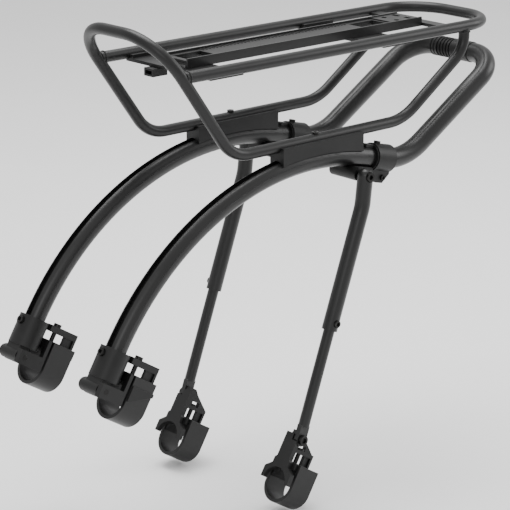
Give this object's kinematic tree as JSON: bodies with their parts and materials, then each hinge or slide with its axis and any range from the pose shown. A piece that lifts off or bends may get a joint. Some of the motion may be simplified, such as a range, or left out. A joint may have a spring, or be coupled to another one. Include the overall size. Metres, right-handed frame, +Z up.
{
  "type": "rear rack",
  "caption": "Bicycle rear rack: a tubular deck on two arched rails with a rear bow, front feet that strap to the stays and telescopic side struts.",
  "frame": {"origin": "centre of the deck strip's flat top", "axes": "+X points rearward along the deck, +Y to the rider's right, +Z up"},
  "size_m": [0.4934, 0.179, 0.4384],
  "materials": {
    "painted_frame": "satin black powder coat",
    "anodised_tube": "satin black anodised",
    "plastic": "fine grained black nylon",
    "straps": "smooth black strap",
    "rubber": "matte black rubber",
    "fasteners": "black oxide steel"
  },
  "bodies": {
    "base": {"arch_left": "anodised_tube", "arch_right": "anodised_tube", "bow_left": "anodised_tube", "bow_right": "anodised_tube", "bow_joiner": "plastic", "tube_clamp_left": "plastic", "tube_clamp_right": "plastic", "clamp_screws": "fasteners", "slot_stops": "plastic", "strut_pivot_bolt_left": "fasteners", "strut_pivot_bolt_right": "fasteners"},
    "deck": {"side_frame": "painted_frame", "deck_rail": "painted_frame", "deck_strip": "anodised_tube", "strip_floor": "plastic", "front_cross_plate": "painted_frame", "rear_cross_plate": "painted_frame", "rear_cross_bar": "painted_frame", "light_plate": "plastic", "front_clip": "plastic", "saddle_left": "plastic", "saddle_right": "plastic", "saddle_screws": "fasteners", "slot_nuts": "fasteners"},
    "collar_left": {"front_collar_left": "plastic", "collar_screw_left": "fasteners"},
    "front_foot_left": {"front_clamp_left": "plastic", "front_pivot_bolt_left": "fasteners", "front_strap_left": "straps", "front_pad_left": "rubber", "front_buckle_left": "plastic"},
    "front_screw_left": {"front_tension_screw_left": "fasteners"},
    "strut_tube_left": {"strut_upper_left": "anodised_tube", "strut_screw_left": "fasteners"},
    "strut_rod_left": {"strut_lower_left": "anodised_tube"},
    "strut_foot_left": {"strut_clamp_left": "plastic", "strut_clamp_bolt_left": "fasteners", "strut_strap_left": "straps", "strut_pad_left": "rubber"},
    "strut_foot_screw_left": {"strut_tension_screw_left": "fasteners"},
    "collar_right": {"front_collar_right": "plastic", "collar_screw_right": "fasteners"},
    "front_foot_right": {"front_clamp_right": "plastic", "front_pivot_bolt_right": "fasteners", "front_strap_right": "straps", "front_pad_right": "rubber", "front_buckle_right": "plastic"},
    "front_screw_right": {"front_tension_screw_right": "fasteners"},
    "strut_tube_right": {"strut_upper_right": "anodised_tube", "strut_screw_right": "fasteners"},
    "strut_rod_right": {"strut_lower_right": "anodised_tube"},
    "strut_foot_right": {"strut_clamp_right": "plastic", "strut_clamp_bolt_right": "fasteners", "strut_strap_right": "straps", "strut_pad_right": "rubber"},
    "strut_foot_screw_right": {"strut_tension_screw_right": "fasteners"}
  },
  "joints": [
    {"name": "deck_slide", "type": "hinge", "parent": "base", "child": "deck", "pos_m": [-0.0328, 0, -0.3531], "axis": [0, 1, 0], "range_deg": [-12, 0.8]},
    {"name": "collar_turn_left", "type": "hinge", "parent": "base", "child": "collar_left", "pos_m": [-0.25167, -0.055, -0.21687], "axis": [0.5284, 0, 0.849], "range_deg": [-30, 30]},
    {"name": "front_foot_tilt_left", "type": "hinge", "parent": "collar_left", "child": "front_foot_left", "pos_m": [-0.27329, -0.055, -0.24404], "axis": [0, 1, 0], "range_deg": [0, 30]},
    {"name": "front_screw_turn_left", "type": "hinge", "parent": "front_foot_left", "child": "front_screw_left", "pos_m": [-0.23315, -0.061, -0.22781], "axis": [0.5284, 0, 0.849], "continuous": true},
    {"name": "strut_swing_left", "type": "hinge", "parent": "base", "child": "strut_tube_left", "pos_m": [0.00954, -0.077, -0.113], "axis": [0, 1, 0], "range_deg": [-20, 25]},
    {"name": "strut_slide_left", "type": "slide", "parent": "strut_tube_left", "child": "strut_rod_left", "axis": [-0.3437, 0, -0.9391], "range_m": [-0.06, 0.012]},
    {"name": "strut_foot_tilt_left", "type": "hinge", "parent": "strut_rod_left", "child": "strut_foot_left", "pos_m": [-0.06626, -0.077, -0.33814], "axis": [0, 1, 0], "range_deg": [-20, 20]},
    {"name": "strut_screw_turn_left", "type": "hinge", "parent": "strut_foot_left", "child": "strut_foot_screw_left", "pos_m": [-0.06232, -0.073, -0.35073], "axis": [0.5284, 0, 0.849], "continuous": true},
    {"name": "collar_turn_right", "type": "hinge", "parent": "base", "child": "collar_right", "pos_m": [-0.25167, 0.055, -0.21687], "axis": [0.5284, 0, 0.849], "range_deg": [-30, 30]},
    {"name": "front_foot_tilt_right", "type": "hinge", "parent": "collar_right", "child": "front_foot_right", "pos_m": [-0.27329, 0.055, -0.24404], "axis": [0, 1, 0], "range_deg": [0, 30]},
    {"name": "front_screw_turn_right", "type": "hinge", "parent": "front_foot_right", "child": "front_screw_right", "pos_m": [-0.23315, 0.049, -0.22781], "axis": [0.5284, 0, 0.849], "continuous": true},
    {"name": "strut_swing_right", "type": "hinge", "parent": "base", "child": "strut_tube_right", "pos_m": [0.00954, 0.077, -0.113], "axis": [0, 1, 0], "range_deg": [-20, 25]},
    {"name": "strut_slide_right", "type": "slide", "parent": "strut_tube_right", "child": "strut_rod_right", "axis": [-0.3437, 0, -0.9391], "range_m": [-0.06, 0.012]},
    {"name": "strut_foot_tilt_right", "type": "hinge", "parent": "strut_rod_right", "child": "strut_foot_right", "pos_m": [-0.06626, 0.077, -0.33814], "axis": [0, 1, 0], "range_deg": [-20, 20]},
    {"name": "strut_screw_turn_right", "type": "hinge", "parent": "strut_foot_right", "child": "strut_foot_screw_right", "pos_m": [-0.06232, 0.073, -0.35073], "axis": [0.5284, 0, 0.849], "continuous": true}
  ]
}
